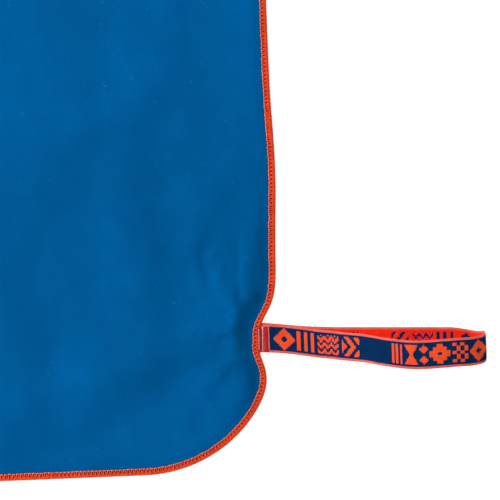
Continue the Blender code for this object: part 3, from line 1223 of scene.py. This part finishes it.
class TOWEL_OT_loop(bpy.types.Operator):
    """Make the hanging loop: one strip of woven elastic from end to end."""

    bl_idname = "towel.loop"
    bl_label = "Hanging loop"

    def execute(self, context):
        settings = context.scene.towel_loop
        side, outward, shift, across, along = band_grid(settings)
        rows, columns = len(side), len(across)
        middle_along = (along[1:] + along[:-1]) / 2
        middle_across = (across[1:] + across[:-1]) / 2
        seam_at = HINGE_X - ENDS_LOW.x
        selvedge = np.abs(middle_across) > BAND_WIDTH / 2 - SELVEDGE_WIDTH
        mask = figure_mask(middle_along - seam_at, middle_across)
        points = side[:, None, :] + outward[:, None, :] * raised_weave(mask, across, settings.relief)
        points[:, :, 1] = shift[:, None] + across[None, :]
        index = np.arange(rows * columns).reshape(rows, columns)
        faces = np.stack((index[:-1, :-1], index[:-1, 1:], index[1:, 1:], index[1:, :-1]), -1)
        ground, edge = settings.ground_colour, settings.selvedge_colour
        outside = band_material("Band outside", ground, settings.figure_colour, edge)
        inside = band_material("Band inside", settings.inside_colour, ground, edge)
        faces = faces.reshape(-1, 4)[:, ::-1]
        band = object_from("hanging_loop_band", points.reshape(-1, 3), faces, outside)
        band.data.materials.append(inside)
        grid = np.stack(np.meshgrid(along, across, indexing="ij"), -1).reshape(-1, 2)
        keep_vector(band, "band_place", grid)
        self.keep_faces(band, "figure", mask)
        root = middle_along < seam_at + ROOT_LENGTH
        self.keep_faces(band, "selvedge", selvedge[None, :] | root[:, None])
        solid = band.modifiers.new("Band thickness", "SOLIDIFY")
        solid.thickness = BAND_THICKNESS
        solid.offset = 0
        solid.material_offset = 1
        solid.material_offset_rim = 0
        band["length"] = float(along[-1])
        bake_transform(band)
        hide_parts("loop_band", "loop_band_ends")
        return {"FINISHED"}

    def keep_faces(self, band, name, values):
        """Store one value per face as a named attribute."""
        layer = band.data.attributes.new(name, "FLOAT", "FACE")
        layer.data.foreach_set("value", np.asarray(values, np.float32).ravel())


def tack_path(near, far, half_width, height, passes, dip):
    """Close zigzag stitches from side to side of the tack."""
    points = []
    for number in range(passes):
        y = LOOP_Y - half_width + 2 * half_width * number / (passes - 1)
        start, end = (near, far) if number % 2 else (far, near)
        for share, sunk in ((0, dip), (0.2, 0), (0.8, 0), (1, dip)):
            points.append((start * (1 - share) + end * share, y, height - sunk))
    return points


def lockstitch_path(x, half_width, height, stitch, skew):
    """A line of lockstitches across the band: long on top, with a dip at each needle hole."""
    points = []
    count = int(2 * half_width / stitch)
    for number in range(count + 1):
        y = LOOP_Y - half_width + number * stitch
        place = x + skew * (y - LOOP_Y)
        points.append((place, y, height - 0.35 * MM))
        if number < count:
            points.append((place, y + 0.25 * stitch, height))
            points.append((place, y + 0.75 * stitch, height))
    return points


# Height of the finished seam over the underside of the cloth in it
SEAM_THICKNESS = 1.62 * MM
TACK_PASSES = 37
TACK_SINK = 0.12 * MM
TACK_THREAD_RADIUS = 0.2 * MM


class TOWEL_OT_tack(bpy.types.Operator):
    """Make the bar tack across the loop's two strands, and the other stitches at its root."""

    bl_idname = "towel.tack"
    bl_label = "Bar tack and root stitches"

    def execute(self, context):
        settings = context.scene.towel_loop
        crimson = thread_material("Tack thread", settings.tack_colour, 0.7 * MM, 3)
        pale = thread_material("Lockstitch thread", settings.pale_colour, 0.7 * MM, 3)
        for name, way in (("top", 1), ("bobbin", -1)):
            low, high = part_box(f"tack_{name}_thread")
            half = (high.y - low.y) / 2
            height = low.z - TACK_SINK if way > 0 else high.z + TACK_SINK
            path = tack_path(low.x, high.x - 0.5 * MM, half, height, TACK_PASSES, 0.45 * MM * way)
            tack = thread_object(f"bar_tack_{name}_stitches", path, TACK_THREAD_RADIUS, crimson)
            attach(tack, "loop")
            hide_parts(f"tack_{name}_thread")
        over = SEAM_LIFT + RIM_LIFT + SEAM_THICKNESS
        root = lockstitch_path(HINGE_X + 0.45 * MM, 6.6 * MM, TACK_OVER.z + 0.1 * MM, 1.65 * MM, 0.045)
        closing = tack_path(HINGE_X - 2.5 * MM, HINGE_X - 0.75 * MM, 6.0 * MM, over, 31, 0.4 * MM)
        line = lockstitch_path(HINGE_X - 1.55 * MM, 5.6 * MM, over + 0.22 * MM, 1.4 * MM, 0.02)
        rows = (
            ("loop_root_lockstitch", root, 0.24 * MM, pale, "loop", "needle_thread"),
            ("seam_closing_tack", closing, 0.19 * MM, crimson, "towel", "tack_thread"),
            ("seam_closing_lockstitch", line, 0.17 * MM, pale, "towel", "tack_thread"),
        )
        for name, path, radius, material, body, slot in rows:
            piece = thread_object(name, path, radius, material)
            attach(piece, body)
        return {"FINISHED"}


class TOWEL_OT_declare(bpy.types.Operator):
    """Look up the overlock and seam-closing threads by name and list the loop's stitch names; nothing more
    is done with them.
    """

    bl_idname = "towel.declare"
    bl_label = "Sizes of the cut cloth and band"

    def execute(self, context):
        names = ("upper_stitches", "lower_stitches", "needle_stitches", "fibres_and_painted_shade")
        threads = [bpy.data.objects[f"overlock_{name}"] for name in names]
        threads += [bpy.data.objects[f"seam_closing_{name}"] for name in ("tack", "lockstitch")]
        names = ("bar_tack_top_stitches", "bar_tack_bobbin_stitches", "loop_root_lockstitch")
        return {"FINISHED"}


# ---------------------------------------------------------------- stage


FLOOR_SIZE = 40
FLOOR_DROP = 0.05 * MM
LIT_PLACE = Vector((0.15, -0.25, 0))

# The middle of the picture, in from the edge and up from the lower end
FRAMED_FROM_EDGE = 13.6 * MM
FRAMED_FROM_END = 119.2 * MM


def area_light(name, place, size, power):
    """A round soft light that points at the loop's corner."""
    light = bpy.data.lights.new(name, "AREA")
    light.shape = "DISK"
    light.size = size
    light.energy = power
    made = bpy.data.objects.new(name, light)
    made.location = place
    made.rotation_euler = (LIT_PLACE - Vector(place)).to_track_quat("-Z", "Y").to_euler()
    bpy.context.scene.collection.objects.link(made)


def floor_material():
    """Plain pale paper that glows a little, so that it stays near white."""
    material, _, shader = new_material("Pale floor", 0.9, 0.3)
    shader["Base Color"].default_value = (0.9, 0.9, 0.9, 1)
    shader["Emission Color"].default_value = (1, 1, 1, 1)
    shader["Emission Strength"].default_value = 0.62
    return material


class TOWEL_OT_stage(bpy.types.Operator):
    """Make the floor, the soft lights and the camera."""

    bl_idname = "towel.stage"
    bl_label = "Stage"

    def execute(self, context):
        settings = context.scene.towel_stage
        bpy.ops.mesh.primitive_plane_add(size=FLOOR_SIZE, location=(0, 0, -FLOOR_DROP))
        floor = bpy.context.object
        floor.name = "pale_floor"
        floor.data.materials.append(floor_material())
        area_light("Key", (-1.3, 0.35, 0.95), 0.9, 60)
        area_light("Fill", (1.4, -1.2, 1.6), 1.6, 6)
        world = bpy.data.worlds.new("Studio")
        context.scene.world = world
        world.use_nodes = True
        tree = world.node_tree
        sky = tree.nodes["Background"].inputs
        sky["Color"].default_value = (1, 1, 1, 1)
        seen = tree.nodes.new("ShaderNodeLightPath").outputs["Is Camera Ray"]
        feed(tree, sky["Strength"], maths(tree, "MULTIPLY_ADD", seen, 0.55, 0.45))
        context.scene.view_settings.view_transform = "Standard"
        camera = bpy.data.cameras.new("Camera")
        camera.lens = settings.lens
        distance = settings.framed_width * camera.lens / camera.sensor_width
        made = bpy.data.objects.new("Camera", camera)
        made.location = (HALF_WIDTH - FRAMED_FROM_EDGE, FRAMED_FROM_END - HALF_LENGTH, distance)
        made.rotation_euler = (0, 0, -settings.roll)
        camera.clip_start = 10 * MM
        context.scene.collection.objects.link(made)
        context.scene.camera = made
        return {"FINISHED"}


# ---------------------------------------------------------------- panel


class TOWEL_PT_panel(bpy.types.Panel):
    """Lists the towel's pieces."""

    bl_idname = "TOWEL_PT_panel"
    bl_label = "Quick dry towel"
    bl_space_type = "VIEW_3D"
    bl_region_type = "UI"
    bl_category = "Towel"

    def draw(self, context):
        """Show each piece's button, and then the settings."""
        for operator in OPERATORS:
            self.layout.operator(operator.bl_idname)
        for name in SETTINGS:
            settings = getattr(context.scene, name)
            box = self.layout.box()
            for field in type(settings).__annotations__:
                box.prop(settings, field)


OPERATORS = (
    TOWEL_OT_stage,
    TOWEL_OT_cloth,
    TOWEL_OT_overlock,
    TOWEL_OT_loop,
    TOWEL_OT_tack,
    TOWEL_OT_declare,
)
SETTINGS = {
    "towel_cloth": TowelClothSettings,
    "towel_overlock": TowelOverlockSettings,
    "towel_loop": TowelLoopSettings,
    "towel_stage": TowelStageSettings,
}


def register():
    """Make Blender know the classes, and give the scene its settings."""
    for kind in (*SETTINGS.values(), *OPERATORS, TOWEL_PT_panel):
        bpy.utils.register_class(kind)
    for name, kind in SETTINGS.items():
        setattr(bpy.types.Scene, name, bpy.props.PointerProperty(type=kind))


def unregister():
    """Undo what register did."""
    for name in SETTINGS:
        delattr(bpy.types.Scene, name)
    for kind in reversed((*SETTINGS.values(), *OPERATORS, TOWEL_PT_panel)):
        bpy.utils.unregister_class(kind)


def main():
    """Make every piece in order."""
    register()
    bpy.ops.towel.stage()
    bpy.ops.towel.cloth()
    bpy.ops.towel.overlock()
    bpy.ops.towel.loop()
    bpy.ops.towel.tack()
    bpy.ops.towel.declare()


if __name__ == "__main__":
    main()
